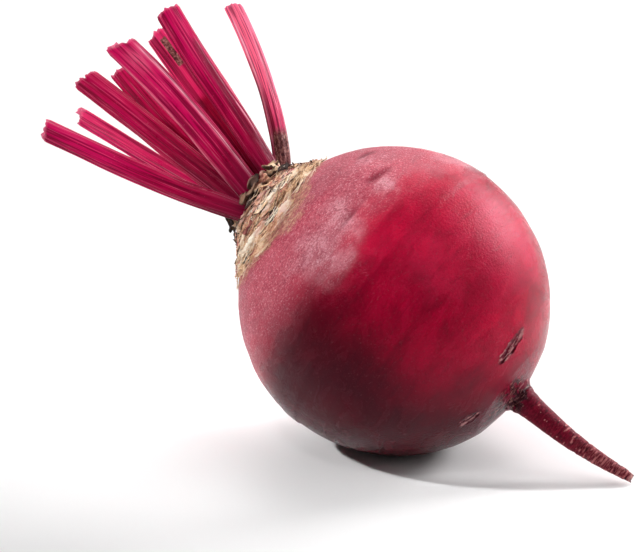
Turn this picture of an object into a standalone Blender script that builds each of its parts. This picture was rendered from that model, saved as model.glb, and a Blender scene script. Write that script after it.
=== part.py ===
"""A whole beetroot, lying tilted on its side: a globe with its tap root, a corky crown and eight cut leaf stalks.

Everything is modelled along the growth axis, with +Z towards the leaves and the globe's centre at the origin.
An empty then leans that axis over and lifts the globe, so that it lies on the plane z = 0.
"""

import math
import random
from functools import partial

import bmesh
import bpy
import numpy as np
from mathutils import Matrix, Vector

MM = 0.001

# The globe and its tap root, along the growth axis
GLOBE_RADIUS = 37.5 * MM
NECK_RADIUS = 12.3 * MM
NECK_TOP = 37.2 * MM
TAIL_END = -70.9 * MM
TAIL_START_RADIUS = 3.3 * MM
TAIL_END_RADIUS = 1.2 * MM
TAIL_FLARE = 5.5 * MM
TAIL_FLARE_FADE = 1.6 * MM
TAIL_SWAY = 0.55 * MM
SHOULDER_BLEND = 3.0
LUMP_HEIGHT = 0.5 * MM
SHOULDER_FURROW = 0.5 * MM
WRINKLE_HEIGHT = 0.25 * MM
WRINKLE_PITCH = 2.0 * MM
WRINKLE_MIDDLE = -39.0 * MM
WRINKLE_SPREAD = 2.6 * MM
ROOT_SIDES = 56

# Scars of fine side roots: bearing about the growth axis and height, then length, width and depth, and how far each
# is turned from running round the axis.
SCARS = (
    dict(bearing=-38, height=-32.0, size=(8.6, 2.1, 1.3), turn=8),
    dict(bearing=-101, height=-34.0, size=(5.4, 2.0, 1.2), turn=-43),
    dict(bearing=96, height=-31.0, size=(6.4, 1.8, 1.2), turn=-6),
    dict(bearing=150, height=-33.4, size=(5.0, 1.8, 1.1), turn=12),
)

# How it lies
AXIS_PITCH = math.radians(30)
FLAT_DEPTH = 0.9 * MM

# The crown: its rim, pocket and flank as (radius, height) from the middle outwards, then a thin skirt that lies on
# the root's shoulder as (share of its reach, thickness). The skirt reaches furthest on the viewer's side.
CROWN_RIM = ((4.6, 42.3), (7.6, 42.5), (8.5, 43.8), (9.2, 44.0), (9.6, 42.4), (9.8, 41.4), (10.9, 41.2), (11.6, 40.0))
CROWN_SKIRT = ((0.0, 1.8), (0.16, 1.4), (0.32, 1.8), (0.5, 1.4), (0.66, 1.6), (0.82, 1.2), (1.0, 1.2), (1.05, -1.5))
CROWN_CORE = (42.2 * MM, 34.0 * MM)
SKIRT_START = 12.2 * MM
SKIRT_BACK = 15.0 * MM
SKIRT_FRONT = 24.0 * MM
RIM_RAGGED = 0.8 * MM
CROWN_SIDES = 48
GAP = 0.3 * MM

# The stalks fan out mostly in one plane. Its bearing is measured about the growth axis, from +X.
FAN_BEARING = math.radians(31)
STALK_SIDES = 30
STALK_RIBS = 10
STALK_RINGS = 11
RIB_HEIGHT = 0.2 * MM
FOOT_HEIGHT = 41.0 * MM
CHANNEL_SHARE = 0.42
INNER_SHARE = 0.72

# Each stalk: where its foot stands across the fan and towards the viewer, how it leans across the fan at its foot
# and at its tip, how it leans towards the viewer, its length, width and thickness, the share of that size that its
# foot has, how aslant its end is cut, and which way its back faces.
STALKS = {
    "a": dict(foot=(-4.9, 6.6), fan=(-19, -11), front=8, length=54, size=(5.4, 4.0), waist=0.95, cut=-12, facing=-78),
    "b": dict(foot=(-4.0, -3.5), fan=(-8, -5), front=-6, length=55, size=(4.6, 3.4), waist=0.78, cut=28, facing=120),
    "c": dict(foot=(-3.4, 0.3), fan=(2, 0), front=0, length=56, size=(6.4, 3.9), waist=0.74, cut=16, facing=-86),
    "d": dict(foot=(-0.4, -5.2), fan=(-2, 13), front=-8, length=56, size=(4.8, 3.3), waist=0.8, cut=-8, facing=95),
    "e": dict(foot=(-0.9, 3.9), fan=(16, 6), front=5, length=53, size=(7.2, 4.0), waist=0.78, cut=16, facing=-90),
    "f": dict(foot=(2.5, -2.6), fan=(18, 15), front=-4, length=53, size=(5.4, 3.4), waist=0.7, cut=4, facing=80),
    "g": dict(foot=(6.0, 1.4), fan=(18, 21), front=3, length=52, size=(6.6, 4.0), waist=0.66, cut=-4, facing=-68),
    "h": dict(foot=(6.4, -5.0), fan=(47, 24), front=-8, length=51, size=(4.4, 3.2), waist=0.92, cut=8, facing=-60),
}
WAIST_FADE = 4.5

# Ragged dead leaf bases that wrap round the crown, row by row from the rim down: how many, the radius and height that
# they stand at on the rim or their share of the skirt, how far they lean out, and their length round the crown,
# thickness and breadth.
LEAF_BASES = (
    dict(count=9, at=(9.0, 43.7), lean=4, size=(6.4, 1.1, 2.8)),
    dict(count=8, at=(11.0, 40.7), lean=20, size=(8.6, 1.5, 1.9)),
    dict(count=8, share=0.08, lean=30, size=(9.6, 1.5, 1.9)),
    dict(count=8, share=0.38, lean=38, size=(10.0, 1.5, 1.9)),
    dict(count=8, share=0.72, lean=46, size=(9.6, 1.4, 1.9)),
)
LEAF_BASE_RINGS = 5
LEAF_BASE_SIDES = 5
LEAF_BASE_TIP = 0.4
LEAF_BASE_RISE = 1.2 * MM
CROWN_SEED = 14

# Skin, cork and stalk colours as (red, green, blue), roughness
ROOT_LOOK = ((0.22, 0.012, 0.035), 0.45)
CROWN_LOOK = ((0.46, 0.30, 0.17), 0.9)
STALK_LOOK = ((0.36, 0.006, 0.075), 0.4)


def clear_scene():
    for obj in list(bpy.data.objects):
        bpy.data.objects.remove(obj, do_unlink=True)


def collection(name):
    made = bpy.data.collections.new(name)
    bpy.context.scene.collection.children.link(made)
    return made


def material(name, look):
    colour, roughness = look
    made = bpy.data.materials.new(name)
    made.use_nodes = True
    shader = made.node_tree.nodes["Principled BSDF"]
    shader.inputs["Base Color"].default_value = (*colour, 1)
    shader.inputs["Roughness"].default_value = roughness
    shader.inputs["Metallic"].default_value = 0
    return made


def hide(obj):
    """A cutter or a guide is never part of the object."""
    obj.hide_render = True
    obj.display_type = "WIRE"


def turned(name, outline, sides, home):
    """A body turned about Z from (radius, height) points that run down its outer side, as a plain mesh."""
    line = bpy.data.meshes.new(name)
    line.from_pydata([(r, 0, z) for r, z in outline], [(i, i + 1) for i in range(len(outline) - 1)], [])
    obj = bpy.data.objects.new(name, line)
    home.objects.link(obj)
    screw = obj.modifiers.new("turn", "SCREW")
    screw.steps = screw.render_steps = sides
    screw.use_merge_vertices = True
    screw.merge_threshold = 1e-6
    return applied(obj)


def applied(obj):
    """The object with its modifiers made part of its mesh."""
    bpy.context.view_layer.update()
    graph = bpy.context.evaluated_depsgraph_get()
    mesh = bpy.data.meshes.new_from_object(obj.evaluated_get(graph))
    obj.modifiers.clear()
    obj.data = mesh
    return obj


def reshape(obj, move):
    """Moves every vertex to where move(x, y, z) says."""
    for vertex in obj.data.vertices:
        vertex.co = move(*vertex.co)
    obj.data.update()


def boolean(obj, operation, other=None, group=None):
    modifier = obj.modifiers.new(operation.lower(), "BOOLEAN")
    modifier.operation = operation
    modifier.solver = "EXACT"
    if group is None:
        modifier.object = other
    else:
        modifier.operand_type = "COLLECTION"
        modifier.collection = group
    return applied(obj)


def drop_scraps(obj):
    """Keeps only the largest body of the mesh, so a chip that a cut leaves loose goes."""
    body = bmesh.new()
    body.from_mesh(obj.data)
    bmesh.ops.remove_doubles(body, verts=body.verts, dist=0.002 * MM)
    left = set(body.verts)
    islands = []
    while left:
        reached = {left.pop()}
        edge = list(reached)
        while edge:
            near = {e.other_vert(v) for v in edge for e in v.link_edges} - reached
            reached |= near
            edge = list(near)
        left -= reached
        islands.append(reached)
    largest = max(islands, key=len)
    bmesh.ops.delete(body, geom=[v for v in body.verts if v not in largest], context="VERTS")
    body.to_mesh(obj.data)
    body.free()


def smooth_round(obj, sharp_degrees=40):
    obj.data.shade_smooth()
    obj.data.set_sharp_from_angle(angle=math.radians(sharp_degrees))


def tail_radius(z):
    """The tap root's own radius: a long taper, with a flare where it leaves the globe."""
    along = max(0.0, -z - GLOBE_RADIUS) / (-TAIL_END - GLOBE_RADIUS)
    taper = TAIL_START_RADIUS + (TAIL_END_RADIUS - TAIL_START_RADIUS) * along
    below = max(0.0, -z - (GLOBE_RADIUS - 2 * MM))
    return taper + TAIL_FLARE * math.exp(-below / TAIL_FLARE_FADE)


def root_radius(z):
    """The root's radius at a height: a globe that flows into the neck above and the wrinkled tap root below."""
    globe = math.sqrt(max(0.0, GLOBE_RADIUS**2 - z**2))
    end = NECK_RADIUS if z > 0 else tail_radius(z)
    spread = math.exp(-(((z - WRINKLE_MIDDLE) / WRINKLE_SPREAD) ** 2))
    wrinkle = WRINKLE_HEIGHT * math.sin(2 * math.pi * z / WRINKLE_PITCH) * spread
    return (globe**SHOULDER_BLEND + end**SHOULDER_BLEND) ** (1 / SHOULDER_BLEND) + wrinkle


def root_heights():
    """Heights of the root's rings: even steps of angle down the globe, close rings on the flare, then the tap root."""
    top, bottom = math.acos(NECK_TOP / (GLOBE_RADIUS * 1.02)), math.acos(-0.955)
    globe = [GLOBE_RADIUS * math.cos(angle) for angle in np.linspace(top, bottom, 29)]
    flare = np.linspace(globe[-1], -43.2 * MM, 15)
    tail = np.linspace(flare[-1], TAIL_END, 11)
    return [NECK_TOP, *globe[1:], *flare[1:], *tail[1:]]


def lumps(bearing, z):
    """How far the skin stands out of the plain turned shape. It fades out under the crown and along the tap root."""
    share = z / GLOBE_RADIUS
    middle = max(0.0, 1 - share**2) if abs(share) < 1 else 0.0
    shoulder = math.exp(-(((share - 0.78) / 0.16) ** 2))
    swell = math.cos(2 * bearing + 1.1) * (0.6 + 0.5 * share) + 0.6 * math.cos(3 * bearing - 0.4 + 2 * share)
    furrows = -abs(math.cos(2.5 * bearing + 0.5)) ** 6
    return LUMP_HEIGHT * swell * middle + SHOULDER_FURROW * furrows * shoulder


def sway(z):
    """The tap root's sideways wander at a height, across the fan of stalks and towards the viewer."""
    along = max(0.0, -z - GLOBE_RADIUS) / (-TAIL_END - GLOBE_RADIUS)
    return TAIL_SWAY * (along**3 - 1.6 * math.sin(math.pi * along)), TAIL_SWAY * math.sin(2.2 * math.pi * along)


def across(fan, front, z):
    """A point from its place across the fan of stalks, its place towards the viewer and its height."""
    c, s = math.cos(FAN_BEARING), math.sin(FAN_BEARING)
    return Vector((fan * c + front * s, fan * s - front * c, z))


def make_root(home):
    """The globe and tap root as one skin."""
    heights = root_heights()
    outline = [(0.0, NECK_TOP), *[(root_radius(z), z) for z in heights], (0.0, TAIL_END - 0.4 * MM)]
    root = turned("root", outline, ROOT_SIDES, home)

    def move(x, y, z):
        bearing, radius = math.atan2(y, x), math.hypot(x, y)
        radius += lumps(bearing, z) * min(1.0, radius / NECK_RADIUS)
        return Vector((radius * math.cos(bearing), radius * math.sin(bearing), z)) + across(*sway(z), 0)

    reshape(root, move)
    smooth_round(root)
    root.data.materials.append(material("skin", ROOT_LOOK))
    return root


def cut_scars(root, cutters):
    """The shallow slits that fine side roots left."""
    for scar in SCARS:
        long, wide, deep = (side * MM for side in scar["size"])
        height = scar["height"] * MM
        radius = root_radius(height)
        shape = bmesh.new()
        bmesh.ops.create_icosphere(shape, subdivisions=2, radius=0.5)
        mesh = bpy.data.meshes.new("scar")
        shape.to_mesh(mesh)
        shape.free()
        mesh.transform(
            Matrix.Rotation(math.radians(scar["bearing"]), 4, "Z")
            @ Matrix.Translation((radius, 0, height))
            @ Matrix.Rotation(-math.atan2(height, radius), 4, "Y")
            @ Matrix.Rotation(math.radians(scar["turn"]), 4, "X")
            @ Matrix.Diagonal((2 * deep, long, wide, 1))
        )
        slit = bpy.data.objects.new("scar", mesh)
        cutters.objects.link(slit)
        hide(slit)
        boolean(root, "DIFFERENCE", slit)


def stalk_path(foot, fan, front, length):
    """Foot, elbow and tip of the curve that a stalk follows."""

    def direction(fan_degrees):
        lean = across(math.tan(math.radians(fan_degrees)), math.tan(math.radians(front)), 1)
        return lean.normalized()

    start = across(foot[0] * MM, foot[1] * MM, FOOT_HEIGHT)
    elbow = start + direction(fan[0]) * length * MM / 2
    return start, elbow, elbow + direction(fan[1]) * length * MM / 2


def root_height(radius):
    """How high the root's shoulder stands at a radius from the growth axis."""
    heights = np.linspace(NECK_TOP, 0.3 * GLOBE_RADIUS, 60)
    return float(np.interp(radius, [root_radius(z) for z in heights], heights))


def skirt_point(bearing, share, thickness):
    """A point of the crown's skirt, which is longest towards the viewer."""
    towards = 0.5 - 0.5 * math.sin(bearing - FAN_BEARING + 0.25)
    reach = SKIRT_BACK + (SKIRT_FRONT - SKIRT_BACK) * towards**2.5 + 0.5 * MM * math.sin(5 * bearing + 1)
    radius = SKIRT_START + (reach - SKIRT_START) * share
    return radius, root_height(radius) + thickness


def rim_point(radius, height, bearing):
    """A point that stands on the crown's ragged rim or flank. Radius and height are in millimetres."""
    return radius * MM, height * MM + rim_height(bearing)


def rim_height(bearing):
    """How far the rim stands above its usual height."""
    return RIM_RAGGED * math.sin(5 * bearing) * math.sin(9 * bearing + 2)


def stalk_section(turn, width, thickness, grow):
    """A point of a stalk's cross-section: ribs round its back, and a shallow channel along its inner side."""
    c, s = math.cos(turn), math.sin(turn)
    rib = RIB_HEIGHT * math.cos(STALK_RIBS * turn) + grow
    wide = (width / 2 + rib) * c
    if s >= 0:
        return wide, (thickness / 2 + rib) * s
    channel = CHANNEL_SHARE * thickness / 2 * max(0.0, 1 - (c / 0.75) ** 2)
    return wide, (thickness / 2 * INNER_SHARE + grow) * s + channel


def make_stalk(name, home, foot, fan, front, length, size, waist, cut, facing, grow=0.0):
    """A ribbed stalk along its curve. With grow it is the cutter that makes the stalk's socket."""
    rings = np.linspace(1, 0, STALK_RINGS)
    rod = turned(name, [(0, 1), *[(1, t) for t in rings], (0, 0)], STALK_SIDES, home)
    start, elbow, tip = stalk_path(foot, fan, front, length)
    back = across(math.cos(math.radians(facing)), -math.sin(math.radians(facing)), 0)
    width, thickness = size[0] * MM, size[1] * MM

    def move(x, y, t):
        reach = math.hypot(x, y)
        along = ((elbow - start) * (1 - t) + (tip - elbow) * t).normalized()
        out = (back - along * back.dot(along)).normalized()
        side = out.cross(along)
        swell = 1 - (1 - waist) * math.exp(-WAIST_FADE * t)
        wide, deep = stalk_section(math.atan2(y, x), width * swell, thickness * (1 + swell) / 2, grow)
        centre = start * (1 - t) ** 2 + elbow * 2 * t * (1 - t) + tip * t**2
        slant = math.tan(math.radians(cut)) * wide * t**6 - grow * (1 - t)
        return centre + (side * wide + out * deep + along * slant) * reach - along * grow * (1 - t) * (1 - reach)

    reshape(rod, move)
    smooth_round(rod, 60)
    return rod


def leaf_base(name, place, bearing, lean, size, slope, lift):
    """One dead leaf base: a strip that wraps round the crown and thins towards its lifted ends."""
    long, thick, broad = size
    points = []
    for i in range(LEAF_BASE_RINGS):
        u = 2 * i / (LEAF_BASE_RINGS - 1) - 1
        here = bearing + u * long / 2 / place(bearing)[0]
        radius, height = place(here)
        share = LEAF_BASE_TIP + (1 - LEAF_BASE_TIP) * (1 - u * u)
        for k in range(LEAF_BASE_SIDES):
            turn = 2 * math.pi * k / LEAF_BASE_SIDES
            out = thick / 2 * share * math.cos(turn) + lift * u * u
            up = broad / 2 * (share * math.sin(turn) + slope * u)
            r = radius + out * math.cos(lean) - up * math.sin(lean)
            z = height + out * math.sin(lean) + up * math.cos(lean)
            points.append((r * math.cos(here), r * math.sin(here), z))
    n = LEAF_BASE_SIDES
    faces = [tuple(range(n)), tuple(range(len(points) - n, len(points)))]
    for i in range(0, len(points) - n, n):
        faces += [(i + k, i + (k + 1) % n, i + n + (k + 1) % n, i + n + k) for k in range(n)]
    mesh = bpy.data.meshes.new(name)
    mesh.from_pydata(points, [], faces)
    shape = bmesh.new()
    shape.from_mesh(mesh)
    bmesh.ops.recalc_face_normals(shape, faces=shape.faces)
    shape.to_mesh(mesh)
    shape.free()
    return bpy.data.objects.new(name, mesh)


def add_leaf_bases(home):
    """The ragged dead leaf bases that wrap round the crown, row by row."""
    draw = random.Random(CROWN_SEED)
    for row in LEAF_BASES:
        for i in range(row["count"]):
            if "share" in row:
                share = row["share"] + draw.uniform(-0.06, 0.06)
                place = partial(skirt_point, share=share, thickness=LEAF_BASE_RISE)
            else:
                place = partial(rim_point, *row["at"])
            bearing = 2 * math.pi * (i + draw.uniform(-0.3, 0.3)) / row["count"]
            size = [side * draw.uniform(0.75, 1.2) * MM for side in row["size"]]
            lean = math.radians(row["lean"] + draw.uniform(-6, 6))
            slope, lift = draw.uniform(-0.7, 0.7), draw.uniform(0, 0.5) * MM
            home.objects.link(leaf_base("leaf_base", place, bearing, lean, size, slope, lift))


def make_crown(home, cutters, root):
    """The corky collar with its leaf bases, hollowed to sit on the root's neck and to take each stalk's foot."""
    rings = len(CROWN_RIM) + len(CROWN_SKIRT)
    outline = [(0, 0), *[(1, -1 - i) for i in range(rings)], (0, -1 - rings)]
    crown = turned("crown", outline, CROWN_SIDES, home)

    def move(x, y, z):
        if math.hypot(x, y) < 0.5:
            return Vector((0, 0, CROWN_CORE[0] if z > -1 else CROWN_CORE[1]))
        bearing, ring = math.atan2(y, x), round(-1 - z)
        if ring < len(CROWN_RIM):
            radius, height = (side * MM for side in CROWN_RIM[ring])
            if ring in (2, 3):
                height += rim_height(bearing)
        else:
            share, thickness = CROWN_SKIRT[ring - len(CROWN_RIM)]
            radius, height = skirt_point(bearing, share, thickness * MM)
        return Vector((radius * math.cos(bearing), radius * math.sin(bearing), height))

    reshape(crown, move)
    leaf_bases = collection("leaf_bases")
    add_leaf_bases(leaf_bases)
    boolean(crown, "UNION", group=leaf_bases)
    for strip in list(leaf_bases.objects):
        bpy.data.objects.remove(strip)
    bpy.data.collections.remove(leaf_bases)
    seat = bpy.data.objects.new("seat", root.data.copy())
    seat.data.transform(Matrix.Scale(1 + GAP / GLOBE_RADIUS, 4))
    cutters.objects.link(seat)
    hide(seat)
    boolean(crown, "DIFFERENCE", seat)
    for letter, dimensions in STALKS.items():
        socket = make_stalk("socket_" + letter, cutters, grow=GAP, **dimensions)
        hide(socket)
        boolean(crown, "DIFFERENCE", socket)
    drop_scraps(crown)
    smooth_round(crown, 30)
    crown.data.materials.append(material("cork", CROWN_LOOK))
    return crown


def lay_down(pieces):
    """Leans the growth axis over, crown up towards -X, and lifts the globe onto the plane z = 0."""
    lie = bpy.data.objects.new("growth_axis", None)
    bpy.context.scene.collection.objects.link(lie)
    lie.rotation_euler = (0, AXIS_PITCH - math.pi / 2, 0)
    lie.location = (0, 0, GLOBE_RADIUS - FLAT_DEPTH)
    for piece in pieces:
        piece.parent = lie
    return lie


def cut_resting_spot(root, cutters):
    """The small flat spot that it rests on: everything of the root below z = 0 is cut away."""
    shape = bmesh.new()
    bmesh.ops.create_cube(shape, size=2 * GLOBE_RADIUS)
    mesh = bpy.data.meshes.new("below")
    shape.to_mesh(mesh)
    shape.free()
    below = bpy.data.objects.new("below", mesh)
    cutters.objects.link(below)
    below.location = (0, 0, -GLOBE_RADIUS)
    hide(below)
    flat = root.modifiers.new("resting spot", "BOOLEAN")
    flat.operation = "DIFFERENCE"
    flat.object = below


def main():
    clear_scene()
    beetroot = collection("beetroot")
    cutters = collection("cutters")
    root = make_root(beetroot)
    crown = make_crown(beetroot, cutters, root)
    cut_scars(root, cutters)
    flesh = material("stalk", STALK_LOOK)
    stalks = []
    for letter, dimensions in STALKS.items():
        stalk = make_stalk("stalk_" + letter, beetroot, **dimensions)
        stalk.data.materials.append(flesh)
        stalks.append(stalk)
    lay_down([root, crown, *stalks])
    cut_resting_spot(root, cutters)


main()
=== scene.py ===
"""The finished look of a whole beetroot that lies tilted on its side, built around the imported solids.

Root, crown and stalks are made along the growth axis, with +Z towards the leaves and the globe's centre at
the origin, and are then leaned over as the solids are. Lengths are in millimetres until a mesh is written.
"""

import itertools
import math
import random
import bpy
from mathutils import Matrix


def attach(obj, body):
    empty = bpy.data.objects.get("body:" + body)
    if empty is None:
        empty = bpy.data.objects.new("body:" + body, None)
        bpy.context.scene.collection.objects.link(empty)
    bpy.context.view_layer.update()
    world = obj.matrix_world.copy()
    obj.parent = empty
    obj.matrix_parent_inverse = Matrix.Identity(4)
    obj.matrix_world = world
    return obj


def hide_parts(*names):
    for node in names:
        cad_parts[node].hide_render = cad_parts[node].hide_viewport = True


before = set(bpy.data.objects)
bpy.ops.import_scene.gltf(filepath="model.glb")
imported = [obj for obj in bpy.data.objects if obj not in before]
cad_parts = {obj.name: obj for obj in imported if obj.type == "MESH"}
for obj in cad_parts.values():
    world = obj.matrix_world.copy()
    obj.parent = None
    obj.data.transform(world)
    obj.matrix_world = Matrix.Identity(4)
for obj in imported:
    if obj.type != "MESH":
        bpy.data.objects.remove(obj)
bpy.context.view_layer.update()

from types import SimpleNamespace

import bpy
import numpy as np
from mathutils import Vector

MM = 0.001

# The globe and its tap root, as in the solids
GLOBE_RADIUS = 37.5
NECK_RADIUS = 12.3
NECK_TOP = 37.2
TAIL_END = -70.9
TAIL_START_RADIUS = 3.3
TAIL_END_RADIUS = 1.2
TAIL_FLARE = 5.5
TAIL_FLARE_FADE = 1.6
TAIL_SWAY = 0.55
SHOULDER_BLEND = 3.0
LUMP_HEIGHT = 0.5
SHOULDER_FURROW = 0.5
AXIS_PITCH = math.radians(30)
FLAT_DEPTH = 0.9
FAN_BEARING = math.radians(31)

# Wrinkles round the start of the tap root, lower than in the solids, because finer creases lie over them
WRINKLE_HEIGHT = 0.08
WRINKLE_PITCH = 2.0
WRINKLE_MIDDLE = -39.0
WRINKLE_SPREAD = 2.6

# How finely the root is drawn: points round it, then rings down the globe, the flare and the tap root
ROOT_SIDES = 300
GLOBE_RINGS = 96
FLARE_RINGS = 142
TAIL_RINGS = 88
FLARE_BOTTOM = -44
TIP_LENGTH = 1.6
SCAR_SPREAD = 11

# Scars of fine side roots: bearing, height, length, width, turn from running round the axis, and depth
SCARS = (
    (-38, -32.0, 8.4, 2.5, 8, 1.0),
    (-102, -33.6, 4.0, 2.7, -43, 1.2),
    (96, -31.0, 6.4, 1.8, -6, 1.2),
    (150, -33.4, 5.0, 1.8, 12, 1.1),
)
# Shallow marks in the skin, given in the same way
DENTS = (
    (-23, 16.6, 9.0, 3.2, -10, 0.55),
    (-42, 14.7, 12.0, 2.0, 3, 0.5),
    (-8, 24.0, 9.0, 2.6, -10, 0.3),
    (72, -36.2, 4.0, 1.6, 0, 0.9),
    (128, 14.0, 13.0, 3.0, -8, 0.4),
    (-150, 6.0, 10.0, 2.4, 10, 0.3),
    (35, -12.0, 9.0, 2.0, -5, 0.25),
)
# Greyish scuffs, lightened in part as a painted sheen near the top and upper left of the globe: bearing,
# height, radius and strength
SCUFFS_AND_SHEEN = (
    (-16, 21.5, 3.4, 1.0),
    (-27, 14.2, 3.2, 1.0),
    (-65, 14.5, 7.6, 1.0),
    (-48, 17.0, 6.0, 0.8),
    (14, 8.0, 9.0, 0.6),
    (120, 18.0, 9.0, 0.6),
    (-160, 17.0, 8.0, 0.5),
    (60, 22.0, 7.0, 0.5),
)
# Rosy, brighter areas, given in the same way; the first is a painted glow round the key lamp's highlight
ROSY_AND_GLOW = ((-5, -14.0, 15.0, 1.0), (-40, -8.0, 8.0, 0.35), (75, -4.0, 12.0, 0.6), (150, 2.0, 13.0, 0.6))
# The ways that the sides with painted shade face, away from the lamps, and how far that painted shade
# thins the dry film over it
SHADED_WAYS = ((-0.68, -0.71, 0.18), (-0.80, -0.35, -0.48))
FILM_THINNED_BY_SHADE = 0.7
# The near side of the film, where its edge is straighter: bearing and spread in degrees
STRAIGHTER_FILM = (-50, 50)

# Creases, a scab and a groove round the start of the tap root: each one's height and spread, and its bearing
CREASES_AT, CREASES_BACK = (-38.5, 3.2), math.radians(75)
SCAB_AT, SCAB_SIDE = (-38.4, 2.3), math.radians(-82)
GROOVE_AT, GROOVE_SIDE = (-38.6, 0.35), math.radians(-60)
# Pale lines there: radius, bearing, spread in degrees and strength
PALE_LINES = ((4.9, -45, 95, 1.0), (6.2, -88, 42, 0.9), (7.4, -80, 30, 0.8), (9.0, -98, 26, 0.6))
PALE_LINE_HALF = 0.17
# Short bars round the tap root: seed, how many, the highest, the stretch below it, half lengths, half widths
BARS = ((5, 70, -50, 20.0, (0.5, 1.7), (0.13, 0.24)), (6, 44, -40, 20.0, (0.12, 0.6), (0.1, 0.2)))
NICKS = (8, 44, -43, 27.0, (0.3, 1.4), (0.14, 0.34))

# The crown's rim and skirt, as in the solids, then two points on the root's shoulder beyond the skirt
CROWN_RIM = (
    (4.6, 42.3), (7.6, 42.5), (8.5, 43.8), (9.2, 44.0), (9.6, 42.4), (9.8, 41.4), (10.9, 41.2), (11.6, 40.0),
)
CROWN_SKIRT = ((0.0, 1.7), (0.16, 1.3), (0.32, 1.5), (0.5, 1.1), (0.66, 1.0), (0.82, 0.7), (1.0, 0.35))
CROWN_APRON = ((1.12, 0.15), (1.35, 0.1))
CROWN_HUB = 42.0
CROWN_INSIDE = 34.5
SKIRT_START = 12.2
SKIRT_BACK = 15.0
SKIRT_FRONT = 24.0
RIM_RAGGED = 0.8
RIM_EDGE = (2, 3)
FLANK = len(CROWN_RIM)
SKIRT_END = FLANK + len(CROWN_SKIRT) - 1
COLLAR_SIDES = 420
RIM_RINGS = 14
SKIRT_RINGS = 156
# A tongue and a bay in the corky edge below the skirt: bearing and spread in degrees
CORK_TONGUE = (-57, 17)
CORK_BAY = (-7, 20)
# Sizes of the patches of like tint and of like redness on the crown
TINT_PATCH = (4.5, 4.5, 2.4)
RED_PATCH = (4, 4, 3)
# Gaps between the leaf bases, dug in and painted dark as shade: bearing and place along the outline, then
# half their width in degrees and in places
RIM_GAPS = (
    (-92, 5.0, 9, 1.3), (-64, 4.8, 7, 1.5), (-38, 5.2, 6, 1.2), (-14, 4.6, 8, 1.3), (14, 5.0, 6, 1.2),
    (48, 4.8, 9, 1.3), (83, 5.2, 7, 1.2), (121, 4.8, 8, 1.4), (158, 5.0, 6, 1.2), (-124, 5.0, 7, 1.2),
    (-156, 4.7, 8, 1.3),
)
# Torn leaf bases and strands: how many, from and to which place, (length, width, thickness), lift of the
# ends, spread of their slope, and points along and across each one
SCALES = (
    (16, (2.3, 2.9), (3.0, 1.3, 0.6), (0.0, 0.5), 0.3, (22, 6)),
    (18, (3.0, 3.7), (3.2, 1.2, 0.5), (0.0, 0.7), 0.3, (22, 6)),
    (12, (4.0, 5.2), (3.4, 1.1, 0.35), (0.1, 0.7), 0.35, (22, 6)),
    (26, (6.2, 12.5), (5.0, 1.5, 0.34), (0.0, 0.8), 0.3, (24, 6)),
    (150, (5.8, 9.5), (4.0, 0.62, 0.32), (0.0, 0.7), 0.24, (16, 4)),
    (330, (7.0, 14.4), (4.6, 0.55, 0.24), (0.0, 0.45), 0.2, (16, 4)),
)
FIBRES = 640
# Tufts of pale fibres with dark ones between them that stand as painted shade in the slits: bearing and
# place along the outline
TUFTS = ((-64, 12.9), (-46, 9.6), (-22, 8.2), (-84, 8.4), (38, 9.0), (108, 10.4), (-132, 9.6), (168, 11.0))
TUFT_FIBRES = 22
# Looks of the pale tuft fibres, and of the dark ones, which are painted shade
PALE_FIBRE = dict(tint=1.25, red=0.0, dark=0.0)
SHADE_FIBRE = dict(tint=0.2, red=0.0, dark=0.95)

# The stalks, as in the solids: foot across the fan and towards the viewer, turns of the lower and upper half
# in the fan, lean towards the viewer, length, width and thickness, share of the width at the foot, slant of
# the cut, and bearing of the outer side. Then the tone from 0, dark crimson, to 1, light pink, and the pale
# stripes, partly painted highlights along the stalks' edges: turn, half width in degrees, strength, and the
# shares of the length where each starts and ends
STALKS = {
    "a": (
        (-4.9, 6.6), (-19, -11), 8, 54, (5.4, 4.0), 0.95, -12, -78,
        0.5, ((22, 6, 0.6, 0.0, 1.0), (44, 2.5, 0.5, 0.1, 1.0), (150, 4, 0.4, 0.3, 1.0)),
    ),
    "b": (
        (-4.0, -3.5), (-8, -5), -6, 55, (4.6, 3.4), 0.78, 28, 120,
        0.78, ((205, 12, 0.5, 0.3, 1.0), (250, 5, 0.8, 0.25, 0.6), (330, 7, 0.3, 0.5, 1.0)),
    ),
    "c": (
        (-3.4, 0.3), (2, 0), 0, 56, (6.4, 3.9), 0.74, 16, -86, 0.34,
        ((38, 4, 0.6, 0.0, 0.9), (72, 2.5, 0.4, 0.1, 0.8), (95, 2.5, 0.5, 0.0, 0.8), (150, 4, 0.3, 0.4, 1.0)),
    ),
    "d": (
        (-0.4, -5.2), (-2, 13), -8, 56, (4.8, 3.3), 0.8, -8, 95,
        0.36, ((230, 6, 0.4, 0.4, 1.0),),
    ),
    "e": (
        (-0.9, 3.9), (16, 6), 5, 53, (7.2, 4.0), 0.78, 16, -90, 0.62,
        (
            (95, 45, 0.5, 0.84, 1.0), (24, 14, 0.7, 0.15, 1.0), (68, 3, 0.5, 0.0, 1.0),
            (100, 3, 0.4, 0.3, 1.0), (142, 15, 1.0, 0.0, 1.0),
        ),
    ),
    "f": (
        (2.5, -2.6), (18, 15), -4, 53, (5.4, 3.4), 0.7, 4, 80,
        0.86, ((200, 6, 0.4, 0.5, 1.0), (300, 5, 0.3, 0.0, 0.6)),
    ),
    "g": (
        (6.0, 1.4), (18, 21), 3, 52, (6.6, 4.0), 0.66, -4, -68, 0.52,
        (
            (36, 3, 0.4, 0.3, 1.0), (78, 2.5, 0.5, 0.3, 1.0), (128, 4.5, 1.1, 0.0, 0.85),
            (160, 4, 0.6, 0.0, 0.6),
        ),
    ),
    "h": (
        (6.4, -5.0), (47, 24), -8, 51, (4.4, 3.2), 0.92, 8, -60,
        1.25, ((30, 16, 0.9, 0.1, 1.0), (95, 4, 0.5, 0.1, 1.0), (140, 5, 0.4, 0.1, 1.0)),
    ),
}
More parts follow.
